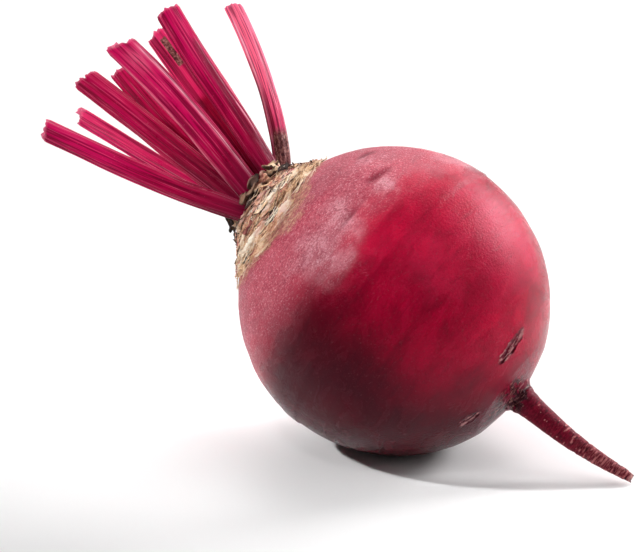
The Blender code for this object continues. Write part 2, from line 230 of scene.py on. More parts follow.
# Dry brown patches: turn, edges to the sides, and edges towards the foot and towards the cut end
DRY_PATCHES = {
    "f": (292, (0.42, 0.32), (0.78, 0.81), (0.97, 0.95)),
    "h": (95, (1.35, 0.75), (-1.0, -0.5), (0.36, 0.2)),
}
FOOT_HEIGHT = 41.0
CHANNEL_SHARE = 0.42
INNER_SHARE = 0.72
WAIST_FADE = 4.5
RIB_COUNT = 11
# How finely a stalk is drawn: points round it, rings near the cut end, down the rest and on the cut face
STALK_SIDES = 108
CUT_RINGS = 22
STALK_RINGS = 98
CUT_START = 0.955
CUT_REACHES = (0.0, 0.3, 0.55, 0.75, 0.88, 0.96)


def smoothstep(low, high, value):
    share = np.clip((value - low) / (high - low), 0, 1)
    return share * share * (3 - 2 * share)


def hump(value, middle, spread, power=2):
    """A smooth hump: 1 in the middle, falling away over the spread, and flatter on top for a higher power."""
    return np.exp(-(((value - middle) / spread) ** power))


def turned(angle, middle):
    """How far angles are turned from the middle one, from -pi to pi."""
    return (angle - middle + math.pi) % (2 * math.pi) - math.pi


def degrees_from(bearing, degrees):
    return np.degrees(turned(bearing, math.radians(degrees)))


def round_axis(bearing, radius, height):
    """Points round the axis at bearings, radii and heights."""
    sides = np.broadcast_arrays(radius * np.cos(bearing), radius * np.sin(bearing), height)
    return np.stack(sides, -1).astype(float)


def noise(points, size, seed):
    """Smooth noise from -1 to 1 at (n, 3) points, with features of that size in each direction."""
    table = np.random.default_rng(seed).uniform(-1, 1, (32, 32, 32))
    cell = np.asarray(points, float) / size
    low = np.floor(cell).astype(int)
    part = cell - low
    part = part * part * (3 - 2 * part)
    total = np.zeros(len(cell))
    for corner in itertools.product((0, 1), repeat=3):
        weight = np.prod(np.where(corner, part, 1 - part), axis=1)
        i, j, k = ((low + corner) % 32).T
        total += weight * table[i, j, k]
    return total * 1.6


def rough_noise(points, size, seed, octaves=3):
    """Noise with finer and finer noise on it."""
    size = np.asarray(size, float)
    return sum(noise(points, size / 2**i, seed + i) / 2**i for i in range(octaves))


def grid(rows, columns):
    """Every row's number with every column's number, row by row."""
    return (side.ravel() for side in np.meshgrid(rows, columns, indexing="ij"))


def leaned(points):
    """Points from the growth frame, in millimetres, to the row frame, in metres."""
    angle = AXIS_PITCH - math.pi / 2
    c, s = math.cos(angle), math.sin(angle)
    x, y, z = np.asarray(points, float).T
    return np.stack([x * c + z * s, y, z * c - x * s + GLOBE_RADIUS - FLAT_DEPTH], 1) * MM


def across(fan, front, z):
    """Points from their place across the fan of stalks, their place towards the viewer and their height."""
    c, s = math.cos(FAN_BEARING), math.sin(FAN_BEARING)
    return np.stack(np.broadcast_arrays(fan * c + front * s, fan * s - front * c, z), -1).astype(float)


def write_mesh(name, points, faces, **values):
    """A smooth mesh in the row frame. Each of the values is kept on its points for the material to read."""
    mesh = bpy.data.meshes.new(name)
    mesh.from_pydata(leaned(points).tolist(), [], faces)
    mesh.shade_smooth()
    for key, value in {"growth": points, **values}.items():
        value = np.asarray(value, np.float32)
        kind, field = ("FLOAT_VECTOR", "vector") if value.ndim == 2 else ("FLOAT", "value")
        mesh.attributes.new(key, kind, "POINT").data.foreach_set(field, value.ravel())
    obj = bpy.data.objects.new(name, mesh)
    bpy.context.scene.collection.objects.link(obj)
    return obj


def tube_faces(rings, sides):
    """Faces of a closed tube of rings, which run from its top down, closed by one point at each end."""
    faces = []
    after = [(k + 1) % sides for k in range(sides)]
    for row in range(0, (rings - 1) * sides, sides):
        faces += [(row + k, row + sides + k, row + sides + after[k], row + after[k]) for k in range(sides)]
    top, bottom, last = rings * sides, rings * sides + 1, (rings - 1) * sides
    faces += [(top, k, after[k]) for k in range(sides)]
    faces += [(bottom, last + after[k], last + k) for k in range(sides)]
    return faces


# Root


def tail_share(z):
    return np.maximum(0.0, -z - GLOBE_RADIUS) / (-TAIL_END - GLOBE_RADIUS)


def root_radius(z):
    """The root's radius at heights: a globe that flows into the neck above and the tap root below."""
    z = np.asarray(z, float)
    globe = np.sqrt(np.maximum(0.0, GLOBE_RADIUS**2 - z**2))
    taper = TAIL_START_RADIUS + (TAIL_END_RADIUS - TAIL_START_RADIUS) * tail_share(z)
    below = np.maximum(0.0, -z - (GLOBE_RADIUS - 2))
    end = np.where(z > 0, NECK_RADIUS, taper + TAIL_FLARE * np.exp(-below / TAIL_FLARE_FADE))
    wrinkle = np.sin(2 * math.pi * z / WRINKLE_PITCH) * hump(z, WRINKLE_MIDDLE, WRINKLE_SPREAD)
    blend = (globe**SHOULDER_BLEND + end**SHOULDER_BLEND) ** (1 / SHOULDER_BLEND)
    return blend + WRINKLE_HEIGHT * wrinkle


def lumps(bearing, z):
    """How far the skin stands out of the plain turned shape."""
    share = z / GLOBE_RADIUS
    middle = np.clip(1 - share**2, 0, 1)
    swell = np.cos(2 * bearing + 1.1) * (0.6 + 0.5 * share) + 0.6 * np.cos(3 * bearing - 0.4 + 2 * share)
    furrows = -np.abs(np.cos(2.5 * bearing + 0.5)) ** 6
    return LUMP_HEIGHT * swell * middle + SHOULDER_FURROW * furrows * hump(share, 0.78, 0.16)


def sway(z):
    """How far the tap root bends aside at heights."""
    along = tail_share(z)
    aside = along**3 - 1.6 * np.sin(math.pi * along)
    return across(TAIL_SWAY * aside, TAIL_SWAY * np.sin(2.2 * math.pi * along), 0.0)


def even(dense, lengths, count):
    """Some of the dense numbers, spread evenly by the lengths between them."""
    total = np.concatenate([[0], np.cumsum(lengths)])
    return np.interp(np.linspace(0, total[-1], count), total, dense)


def root_bearings():
    """Bearings of the root's columns, closer together across the scars."""
    dense = np.linspace(-180, 180, 4000)
    weight = np.ones_like(dense)
    for bearing, *_ in SCARS:
        weight += 2 * smoothstep(1.6 * SCAR_SPREAD, SCAR_SPREAD, np.abs(dense - bearing))
    return np.radians(even(dense, (weight[1:] + weight[:-1]) / 2, ROOT_SIDES + 1)[:-1])


def mark_frame(points, bearing, height, length, width, turn):
    """Points' places along and across a mark, and how far inside it: 1 in the middle, 0 at the edge."""
    bearing, turn = math.radians(bearing), math.radians(turn)
    radius = float(root_radius(height))
    tilt = math.atan2(height, radius)
    away = points - round_axis(bearing, radius, height)
    around = round_axis(bearing + math.pi / 2, 1.0, 0.0)
    up = round_axis(bearing, -math.sin(tilt), math.cos(tilt))
    along = away @ (math.cos(turn) * around + math.sin(turn) * up)
    over = away @ (math.cos(turn) * up - math.sin(turn) * around)
    near = np.linalg.norm(away, axis=1) < 2 * length
    inside = 1 - (2 * along / length) ** 2 - (2 * over / width) ** 2
    return along, over, np.where(near, inside, -9.0)


def patches(points, spots, ragged, seed):
    """How far each point lies inside any of the round patches of skin."""
    inside = np.zeros(len(points))
    for degrees, height, size, strength in spots:
        middle = round_axis(math.radians(degrees), float(root_radius(height)), height)
        far = np.linalg.norm(points - middle, axis=1) + ragged * rough_noise(points, 4, seed)
        inside = np.maximum(inside, strength * smoothstep(1.35 * size, 0.1 * size, far))
    return inside


def shoulder_reach(bearing):
    """How far from the growth axis the crown's skirt reaches."""
    towards = 0.5 - 0.5 * np.sin(bearing - FAN_BEARING + 0.25)
    return SKIRT_BACK + (SKIRT_FRONT - SKIRT_BACK) * towards**2.5 + 0.5 * np.sin(5 * bearing + 1)


def tail_bars(points, bearing, seed, count, top, stretch, halves, thins):
    """Short bars that run round the tap root, more of them towards its tip."""
    draw = random.Random(seed)
    raised = np.zeros(len(points))
    low = points[:, 2] < top + 2
    z, radius = points[low, 2], np.hypot(points[low, 0], points[low, 1])
    for _ in range(count):
        height = top - stretch * draw.random() ** 0.6
        middle = draw.uniform(-math.pi, math.pi)
        half, thin, strength = draw.uniform(*halves), draw.uniform(*thins), draw.uniform(0.5, 1)
        aside = turned(bearing[low], middle) * radius
        slope = draw.uniform(-0.25, 0.25)
        bar = hump(z - slope * aside, height, thin) * hump(aside, 0, half, 4)
        raised[low] = np.maximum(raised[low], strength * bar)
    return raised


def scar_relief(points):
    """The torn scars: how far they move the skin out, where they lie, and their ridges."""
    out, scar, ridge = np.zeros((3, len(points)))
    for i, (*mark, depth) in enumerate(SCARS):
        along, over, inside = mark_frame(points, *mark)
        ragged = rough_noise(np.stack([along / 2, over, 0 * over + i], 1), 0.9, 11 + i)
        ridges = rough_noise(np.stack([along / 5, over, 0 * over + i], 1), 0.45, 21 + i, 2)
        inside = inside + 0.5 * ragged * smoothstep(-3, -0.5, inside)
        out -= 0.4 * depth * smoothstep(-0.5, 0.9, inside)
        out += 0.2 * ridges * smoothstep(-1.0, 0.0, inside) + 0.1 * hump(inside, -0.9, 0.5)
        scar = np.maximum(scar, smoothstep(-1.5, -0.1, inside))
        ridge += ridges * smoothstep(-1.4, -0.2, inside)
    return out, dict(scar=scar, ridge=ridge)


def dent_relief(points):
    """The shallow marks: how far they move the skin out, and where they lie."""
    out, dent = np.zeros((2, len(points)))
    for i, (*mark, depth) in enumerate(DENTS):
        inside = mark_frame(points, *mark)[2]
        inside = inside + 0.35 * noise(points, 3, 31 + i) * smoothstep(-2, 0, inside)
        hollow = np.clip(inside, 0, 1) ** 1.3
        out -= depth * hollow
        dent = np.maximum(dent, hollow)
    return out, dict(dent=dent)


def pale_lines(points, bearing):
    """Pale lines that run round the tap root's base on its lower side."""
    radius = np.hypot(points[:, 0], points[:, 1]) + 0.5 * noise(points, 4, 57) + 0.3 * noise(points, 1, 58)
    lines = np.zeros(len(radius))
    for middle, way, spread, strength in PALE_LINES:
        line = hump(radius, middle, PALE_LINE_HALF) * hump(degrees_from(bearing, way), 0, spread, 4)
        lines = np.maximum(lines, strength * line)
    return lines * (points[:, 2] < -20) * smoothstep(-0.7, 0.1, noise(points, 1.3, 59))


def flare_relief(points, bearing):
    """Creases, pale lines, a scabby patch and a groove round the tap root's base."""
    z = points[:, 2]
    flare = hump(z, *CREASES_AT) * (0.5 - 0.5 * np.cos(bearing - CREASES_BACK))
    lines = pale_lines(points, bearing)
    scab = hump(z, *SCAB_AT) * smoothstep(0.35, 0.85, np.cos(bearing - SCAB_SIDE))
    scab = scab * smoothstep(-0.7, 0.2, rough_noise(points, 1.5, 47))
    groove = hump(z, *GROOVE_AT) * smoothstep(-0.4, 0.6, np.cos(bearing - GROOVE_SIDE))
    out = 0.13 * flare * rough_noise(points, (3.5, 3.5, 0.9), 41) + 0.16 * lines
    out += 0.24 * scab * rough_noise(points, 0.7, 49) - 0.3 * groove
    return out, dict(flare=flare, lines=lines, scab=np.maximum(scab, 0.8 * groove))


def tail_relief(points, bearing):
    """Bars, nicks and fine grain on the tap root."""
    bars = np.max([tail_bars(points, bearing, *row) for row in BARS], axis=0)
    nicks = tail_bars(points, bearing, *NICKS)
    tail = smoothstep(-38.5, -42, points[:, 2])
    out = 0.1 * bars - 0.18 * nicks + 0.03 * tail * rough_noise(points, (1.2, 1.2, 4.0), 51)
    return out, dict(bars=bars, nicks=nicks, tail=tail)


def film_relief(points, bearing):
    """The dry film over the upper half and its scuffs, both partly a painted sheen, the rosy patches, one of
    them a painted glow, and the painted shade on the sides that face away from the lamps.
    """
    z = points[:, 2]
    far = 1 - hump(np.degrees(bearing), *STRAIGHTER_FILM, 4)
    wander = 1.7 * noise(points, (12, 12, 5), 73) + 5 * far * rough_noise(points, (14, 14, 7), 78)
    # The dry film, lightened in the material in part as a painted sheen
    scurf_and_sheen = smoothstep(5 - 4 * far, 18, z + wander)
    # Painted shade on the sides that face away from the lamps, which thins the film there too
    facing = [smoothstep(0.14, 0.74, points @ np.array(way) / GLOBE_RADIUS) for way in SHADED_WAYS]
    under = np.max(facing, axis=0) * smoothstep(20, 6, z)
    left = 1 - FILM_THINNED_BY_SHADE * under
    scuff_and_sheen = patches(points, SCUFFS_AND_SHEEN, 1.6, 71) * left
    out = 0.05 * scurf_and_sheen * rough_noise(points, (1.6, 1.6, 1.1), 75)
    return out, dict(under=under, scurf_and_sheen=scurf_and_sheen * left, scuff_and_sheen=scuff_and_sheen, rosy=patches(points, ROSY_AND_GLOW, 2.5, 77))


def cork_relief(points, bearing):
    """The corky skin next to the crown, with an uneven edge."""
    degrees = np.degrees(bearing)
    edge = np.hypot(points[:, 0], points[:, 1]) - shoulder_reach(bearing)
    edge += 1.1 * noise(points, (4, 4, 1.6), 61) + 0.5 * noise(points, (1.5, 1.5, 0.5), 62)
    edge += 1.2 * hump(degrees, *CORK_BAY) - 2.6 * hump(degrees, *CORK_TONGUE)
    cork = smoothstep(4.4, -0.6, edge) * (points[:, 2] > 0)
    rough = 0.2 * rough_noise(points, (3.5, 3.5, 0.6), 81) + 0.14 * rough_noise(points, (1.2, 1.2, 0.8), 84)
    return cork * rough, dict(cork=cork)


def root_relief(points, bearing):
    """Every fine form of the skin: how far each point moves out, and the masks that its material reads."""
    out = 0.14 * noise(points, 15, 1) + 0.05 * noise(points, 5, 2)
    out += 0.035 * rough_noise(points, (18, 18, 3.2), 3)
    out *= smoothstep(-36, -30, points[:, 2])
    masks = {}
    forms = [scar_relief(points), dent_relief(points)]
    forms += [relief(points, bearing) for relief in (flare_relief, tail_relief, film_relief, cork_relief)]
    for move, more in forms:
        out += move
        masks.update(more)
    return out, masks


def root_heights():
    """Heights of the root's rings, closer together round the scars and down the tap root."""
    globe = [GLOBE_RADIUS * math.cos(a) for a in np.linspace(math.acos(0.97), math.acos(-0.70), GLOBE_RINGS)]
    dense = np.linspace(globe[-1], FLARE_BOTTOM, 6000)
    flare = even(dense, np.hypot(np.diff(dense), np.diff(root_radius(dense))), FLARE_RINGS)[1:]
    tail = np.linspace(FLARE_BOTTOM, TAIL_END, TAIL_RINGS)[1:]
    return np.concatenate([[NECK_TOP], globe, flare, tail])


def make_root():
    """The globe and its tap root, with scars, dents, creases and a broken tip."""
    heights = root_heights()
    z, bearing = grid(heights, root_bearings())
    radius = root_radius(z)
    out, masks = root_relief(round_axis(bearing, radius, z), bearing)
    tip = smoothstep(TAIL_END + TIP_LENGTH, TAIL_END, z)
    radius = radius + lumps(bearing, z) * np.minimum(1, radius / NECK_RADIUS) + out - 0.25 * tip
    torn = 0.9 * noise(round_axis(bearing, 1.0, 0.0), 0.9, 91)
    points = round_axis(bearing, radius, z + tip * torn) + sway(z)
    points = np.concatenate([points, [[0, 0, NECK_TOP]], [points[-ROOT_SIDES:].mean(0) + [0, 0, 0.7]]])
    masks = {key: np.append(value, [0, 0]) for key, value in masks.items()}
    masks["tip"] = np.append(tip, [0, 1])
    root = write_mesh("root_skin", points, tube_faces(len(heights), ROOT_SIDES), **masks)
    for vertex in root.data.vertices:
        vertex.co.z = max(0.0, vertex.co.z)
    return root


# Crown


SHOULDER_HEIGHTS = np.linspace(NECK_TOP, 0.3 * GLOBE_RADIUS, 200)
SHOULDER_RADII = root_radius(SHOULDER_HEIGHTS)


def crown_profile(bearing):
    """Radius and height of each point of the crown's outline, at every bearing."""
    columns = []
    ragged = RIM_RAGGED * np.sin(5 * bearing) * np.sin(9 * bearing + 2)
    for i, (radius, height) in enumerate(CROWN_RIM):
        columns.append((radius + 0 * bearing, height + ragged * (i in RIM_EDGE)))
    for share, thickness in CROWN_SKIRT + CROWN_APRON:
        radius = SKIRT_START + (shoulder_reach(bearing) - SKIRT_START) * share
        columns.append((radius, np.interp(radius, SHOULDER_RADII, SHOULDER_HEIGHTS) + thickness))
    return np.array(columns)


def crown_point(bearing, place):
    """Points on the crown at bearings and places along its outline, from 0, the middle, outwards."""
    bearing, place = np.broadcast_arrays(np.asarray(bearing, float), np.asarray(place, float))
    shape = bearing.shape
    bearing, place = bearing.ravel(), place.ravel()
    outline = crown_profile(bearing)
    last = len(outline) - 1
    place = np.clip(place, 0, last - 1e-6)
    low = place.astype(int)
    t = (place - low)[:, None]
    each = np.arange(len(bearing))
    p0, p1, p2, p3 = (outline[np.clip(low + step, 0, last), :, each] for step in (-1, 0, 1, 2))
    bend, twist = 2 * p0 - 5 * p1 + 4 * p2 - p3, 3 * p1 - p0 - 3 * p2 + p3
    radius, height = (p1 + 0.5 * ((p2 - p0) * t + bend * t**2 + twist * t**3)).T
    return round_axis(bearing, radius, height).reshape(*shape, 3)


def crown_frame(bearing, place):
    """Points on the crown, and at each one the direction out of it and the direction down it."""
    around = crown_point(bearing + 0.02, place) - crown_point(bearing - 0.02, place)
    down = crown_point(bearing, place + 0.3) - crown_point(bearing, place - 0.3)
    around /= np.linalg.norm(around, axis=-1, keepdims=True)
    down /= np.linalg.norm(down, axis=-1, keepdims=True) + 1e-9
    out = np.cross(down, around)
    out /= np.linalg.norm(out, axis=-1, keepdims=True) + 1e-9
    return crown_point(bearing, place), out, down


def gap_share(bearing, place):
    """How far a place near the rim lies in one of the dark gaps between the leaf bases."""
    share = np.zeros(np.broadcast(bearing, place).shape)
    for degrees, middle, wide, high in RIM_GAPS:
        gap = hump(degrees_from(bearing, degrees), 0, wide, 4) * hump(place, middle, high, 4)
        share = np.maximum(share, gap)
    return share


def collar_relief(here, bearing, place):
    """How far each point of the collar moves out, and how dark, tinted and red it is. The darkness is painted
    shade in the pockets, gaps, slits and hollow middle, with darker fibre grain.
    """
    skirt = smoothstep(FLANK - 2, FLANK, place)
    fibres = rough_noise(here, (5.0, 5.0, 0.9), 101, 4)
    ridges = 1 - 2 * np.abs(noise(here, (6.0, 6.0, 1.3), 106))
    tears = rough_noise(here, (1.6, 1.6, 1.2), 111)
    pocket = hump(place, 5.0, 1.1) * smoothstep(-0.4, 0.4, noise(here, (3.2, 3.2, 9), 115))
    slit = smoothstep(0.45, 0.8, noise(here, (4.2, 4.2, 1.1), 118)) * skirt
    gap = gap_share(bearing, place)
    torn = smoothstep(1.6, 2.6, place) * (0.3 * fibres + 0.2 * ridges * skirt + 0.3 * tears)
    move = torn - 1.5 * np.maximum(pocket, gap) - 1.1 * slit
    thick = smoothstep(SKIRT_END + 0.9, SKIRT_END - 0.6, place)
    move = move * (0.25 + 0.75 * thick) - 0.5 * (1 - thick)
    # Painted shade in the pockets, gaps, slits and the hollow middle, and darker fibre grain
    dark = pocket + gap + 0.9 * slit + 0.5 * smoothstep(0.2, -0.9, fibres) + smoothstep(2.0, 0.9, place)
    tint = 0.55 + 0.32 * noise(here, TINT_PATCH, 131) + 0.2 * fibres + 0.15 * tears
    red = 0.12 + 0.55 * noise(here, RED_PATCH, 133)
    return move, dict(dark=np.clip(dark, 0, 1), tint=tint, red=np.clip(red, 0, 1))


def make_collar():
    """The corky collar: fibres that run round it, a torn rim and deep pockets under the rim."""
    bearings = np.linspace(-math.pi, math.pi, COLLAR_SIDES + 1)[:-1]
    places = np.append(np.linspace(0.0, 2, RIM_RINGS), np.linspace(2, SKIRT_END + 0.9, SKIRT_RINGS)[1:])
    place, bearing = grid(places, bearings)
    here, out, _ = crown_frame(bearing, place)
    move, values = collar_relief(here, bearing, place)
    points = here + out * move[:, None]
    points[:, 2] += 0.7 * hump(place, 3, 0.9) * noise(round_axis(bearing, 8.0, place), (1.3, 1.3, 2), 121)
    points = np.concatenate([points, [[0, 0, CROWN_HUB], [0, 0, CROWN_INSIDE]]])
    values = {key: np.append(value, [1, 1]) for key, value in values.items()}
    return write_mesh("crown_collar", points, tube_faces(len(places), COLLAR_SIDES), **values)


class Heap:
    """Many small closed bodies that make one piece."""

    def __init__(self):
        self.points, self.faces, self.values, self.count = [], [], {}, 0

    def add(self, points, faces, **values):
        self.faces += [tuple(i + self.count for i in face) for face in faces]
        self.points.append(points)
        for key, value in values.items():
            self.values.setdefault(key, []).append(np.broadcast_to(value, len(points)))
        self.count += len(points)

    def mesh(self, name):
        values = {key: np.concatenate(parts) for key, parts in self.values.items()}
        return write_mesh(name, np.concatenate(self.points), self.faces, **values)


def strip_faces(long, broad):
    """Faces of a closed strip: a grid of points above, and the same grid below."""
    below = long * broad
    faces = []
    for i in range(long - 1):
        for k in range(broad - 1):
            a = i * broad + k
            faces.append((a, a + broad, a + broad + 1, a + 1))
            faces.append((below + a, below + a + 1, below + a + broad + 1, below + a + broad))
    edge = [i * broad for i in range(long)] + [(long - 1) * broad + k for k in range(1, broad)]
    edge += [i * broad + broad - 1 for i in range(long - 2, -1, -1)] + list(range(broad - 2, 0, -1))
    for a, b in zip(edge, edge[1:] + edge[:1]):
        faces.append((a, below + a, below + b, b))
    return faces


def bearings_along(bearing, place, steps):
    """Bearings at distances round the crown from one of its points."""
    middle = crown_point(np.array([bearing]), np.array([place]))[0]
    return bearing + steps / float(np.hypot(middle[0], middle[1]))


def add_scale(heap, bearing, place, size, slope, lift, curl, look, seed, counts):
    """One torn leaf base: a thin strip that wraps round the crown, with ragged edges and lifted ends."""
    long, broad, thick = size
    u, v = grid(*(np.linspace(-1, 1, count) for count in counts))
    draw = np.stack([u * long / 2, v * broad, np.full(len(u), seed * 1.7)], 1)
    outline = np.clip(1 - np.abs(u) ** 2.2, 0, 1) ** 0.6
    ragged = 1 + 0.55 * rough_noise(draw * [1, 0, 1], (0.9, 1, 1), 200 + seed % 7, 2)
    ragged += 0.25 * np.sign(v) * noise(draw * [1, 0, 1], (1.4, 1, 1), 207)
    half = broad / 2 * outline * np.clip(ragged, 0.25, 1.7) + 0.03
    here, out, down = crown_frame(bearings_along(bearing, place, u * long / 2), np.full(len(u), place))
    raised = lift * np.abs(u) ** 2.5 + curl * v * v + 0.16 * rough_noise(draw, (1.5, 1, 1), 211) + thick
    bend = 0.3 * broad * noise(draw * [1, 0, 1], (2.2, 1, 1), 213)
    centre = here + down * (slope * u * long / 2 + v * half + bend)[:, None] + out * raised[:, None]
    body = thick / 2 * (0.35 + 0.65 * outline) * (1 - 0.6 * v**4)
    ribs = 0.05 * np.sin(v * 9 + seed) + 0.05 * noise(draw * [0.15, 1, 1], 0.4, 215)
    points = np.concatenate([centre + out * (body + ribs)[:, None], centre - out * body[:, None]])
    tint, red, shade = look
    # Darker towards the ends and edges on top, and painted shade on the undersides
    dark = np.concatenate([shade + 0.25 * np.abs(u) ** 4 + 0.15 * v**4, np.full(len(u), 0.8)])
    heap.add(points, strip_faces(*counts), tint=tint, red=red, dark=dark)


def crown_look(bearing, place, draw):
    """Tint, redness and darkness for something at that place on the crown: darker patches, with painted
    shade near the rim and in the gaps. Neighbours look alike.
    """
    point = crown_point(np.array([bearing]), np.array([place]))
    patch = float(noise(point, TINT_PATCH, 131)[0])
    rosy = float(noise(point, RED_PATCH, 133)[0])
    murky = float(noise(point, (3.6, 3.6, 2.0), 135)[0])
    tint = min(1.0, max(0.0, 0.62 + 0.32 * patch + draw.gauss(0, 0.17)))
    red = min(1.0, max(0.0, 0.14 + 0.6 * rosy + draw.gauss(0, 0.25)))
    # Painted shade near the rim, among the pockets
    painted_rim_shade = (place < 6.8) * draw.uniform(0.1, 0.75)
    return tint, red, 0.9 * max(0.0, murky - 0.2) + painted_rim_shade + float(gap_share(bearing, place))


def make_scales():
    """The torn leaf bases and broad strands round the crown, from the rim down."""
    draw = random.Random(17)
    heap = Heap()
    kinds = [kind for count, *kind in SCALES for _ in range(count)]
    for seed, (places, sizes, lifts, turn, counts) in enumerate(kinds, 1):
        bearing, place = draw.uniform(-math.pi, math.pi), draw.uniform(*places)
        if gap_share(bearing, place) > 0.35:
            continue
        long, broad, thick = (side * draw.uniform(0.5, 1.45) for side in sizes)
        thinner = float(1 - 0.45 * smoothstep(9, 14, place))
        add_scale(
            heap, bearing, place, (long, broad, thick * thinner), slope=draw.gauss(0, turn),
            lift=draw.uniform(*lifts) * thinner, curl=draw.uniform(-0.2, 0.25),
            look=crown_look(bearing, place, draw), seed=seed, counts=counts,
        )
    return heap.mesh("crown_scales")


def add_fibre(heap, bearing, place, long, thick, slope, lift, wave, look):
    """One loose fibre: a thin tapered strand that lies round the crown."""
    count, sides = 14, 5
    u = np.linspace(-1, 1, count)
    here, out, down = crown_frame(bearings_along(bearing, place, u * long / 2), np.full(count, place))
    raised = 0.25 + lift * np.clip(u, 0, 1) ** 2
    aside = slope * u * long / 2 + wave * np.sin(2.6 * u + 5 * bearing)
    centre = here + down * aside[:, None] + out * raised[:, None]
    width = thick / 2 * (1 - np.abs(u) ** 3) + 0.02
    turns = np.linspace(0, 2 * math.pi, sides + 1)[:-1]
    ring = out[:, None] * np.cos(turns)[None, :, None] + down[:, None] * np.sin(turns)[None, :, None]
    points = (centre[:, None] + ring * width[:, None, None]).reshape(-1, 3)
    points = np.concatenate([points, centre[:1], centre[-1:]])
    heap.add(points, tube_faces(count, sides), **look)


def make_fibres():
    """Fine fibres over the collar and out onto the root's shoulder, and tufts of coarser ones."""
    draw = random.Random(23)
    heap = Heap()
    for _ in range(FIBRES):
        bearing, place = draw.uniform(-math.pi, math.pi), 6.0 + 9.4 * draw.random() ** 0.8
        tint, red, _ = crown_look(bearing, place, draw)
        look = dict(tint=min(1.0, tint + 0.15), red=red, dark=0.05)
        add_fibre(
            heap, bearing, place, draw.uniform(1.4, 6.0), draw.uniform(0.1, 0.24), slope=draw.gauss(0, 0.24),
            lift=draw.choice((0, 0.1, 0.2, 0.6)), wave=draw.uniform(0, 0.3), look=look,
        )
    for (degrees, middle), i in itertools.product(TUFTS, range(TUFT_FIBRES)):
        bearing, place = math.radians(degrees + draw.gauss(0, 3.5)), middle + draw.gauss(0, 0.4)
        add_fibre(
            heap, bearing, place, draw.uniform(1.2, 3.0), draw.uniform(0.22, 0.42), slope=draw.gauss(0, 0.15),
            lift=draw.uniform(0.1, 0.4), wave=0.1, look=PALE_FIBRE if i % 2 else SHADE_FIBRE,
        )
    return heap.mesh("crown_fibres")


# Stalks


def unit(vectors):
    return vectors / np.linalg.norm(vectors, axis=-1, keepdims=True)


def stalk_path(foot, fan, front, length):
    """Foot, elbow and tip of the curve that a stalk follows."""

    def direction(fan_degrees):
        return unit(across(math.tan(math.radians(fan_degrees)), math.tan(math.radians(front)), 1.0))

    start = across(foot[0], foot[1], FOOT_HEIGHT)
    elbow = start + direction(fan[0]) * length / 2
    return start, elbow, elbow + direction(fan[1]) * length / 2


def stalk_grid():
    """Points' shares of the length, turns round the stalk and reaches from the middle, top ring first."""
    down = [np.linspace(1, CUT_START, CUT_RINGS), np.linspace(CUT_START, 0, STALK_RINGS)[1:]]
    shares = np.concatenate([np.ones(len(CUT_REACHES)), *down])
    reaches = np.append(CUT_REACHES, np.ones(len(shares) - len(CUT_REACHES)))
    turns = np.linspace(0, 2 * math.pi, STALK_SIDES + 1)[:-1]
    t, turn = grid(shares, turns)
    return t, turn, np.repeat(reaches, STALK_SIDES)


def stalk_ribs(turn, t, draw):
    """Ribs along a stalk: how far they stand out, and how pale they are."""
    raised, pale = np.zeros_like(turn), np.zeros_like(turn)
    for i in range(RIB_COUNT):
        middle = 2 * math.pi * (i + draw.uniform(-0.3, 0.3)) / RIB_COUNT
        half = math.radians(draw.uniform(8, 13))
        strength, drift = draw.uniform(0.5, 1.25), draw.uniform(-0.12, 0.12)
        away = turned(turn, middle + drift * t)
        raised += strength * hump(away, 0, half)
        pale += draw.uniform(0, 0.16) * hump(away, 0, half * 0.6)
    fine = np.sin(37 * turn + 3 * draw.random()) * 0.03
    return 0.24 * raised - 0.12 + fine, pale


def stalk_section(t, turn, rib, size, waist):
    """Each point's place across the stalk's width and its depth, with a channel along the inner side."""
    swell = 1 - (1 - waist) * np.exp(-WAIST_FADE * t)
    width, thickness = size[0] * swell, size[1] * (1 + swell) / 2
    c, s = np.cos(turn), np.sin(turn)
    channel = CHANNEL_SHARE * thickness / 2 * np.maximum(0, 1 - (c / 0.75) ** 2)
    inner = (thickness / 2 * INNER_SHARE + rib * 0.7) * s + channel
    return (width / 2 + rib) * c, np.where(s >= 0, (thickness / 2 + rib) * s, inner)


def cut_height(own_seed, t, turn, reach, wide, deep, rib, cut):
    """How far points stand up at the cut end, which is slanted, torn at the edge and sunken in the middle."""
    torn = 0.26 * rough_noise(round_axis(turn, 1.6, own_seed), 1.1, 311, 2) + 0.25 * (rib > 0.12)
    torn -= 0.5 * smoothstep(0.6, 0.9, noise(round_axis(turn, 1.0, 0.0), 0.55, 315 + own_seed))
    torn *= smoothstep(0.95, 1, t) * (0.45 + 0.55 * reach)
    pith = 0.35 * noise(np.stack([wide * reach, deep * reach, 0 * t], 1), 0.8, 317) - 0.35 * (1 - reach)
    return math.tan(math.radians(cut)) * wide * t**6 + torn + pith * (reach < 0.97)


def stripe_mask(t, turn, pale, stripes):
    """The pale stripes of a stalk, partly painted highlights along its edges, over its pale ribs."""
    for degrees, half, strength, first, last in stripes:
        spread = hump(turned(turn, math.radians(degrees)), 0, math.radians(half))
        ends = smoothstep(first - 0.12, first + 0.05, t) * smoothstep(last + 0.05, last - 0.12, t)
        pale = np.maximum(pale, strength * spread * ends)
    return pale


def dry_mask(letter, t, turn):
    """Where a stalk's skin is dry and brown."""
    if letter not in DRY_PATCHES:
        return np.zeros_like(t)
    degrees, sides, start, end = DRY_PATCHES[letter]
    away = np.abs(turned(turn, math.radians(degrees)))
    return smoothstep(*start, t) * smoothstep(*end, t) * smoothstep(*sides, away)


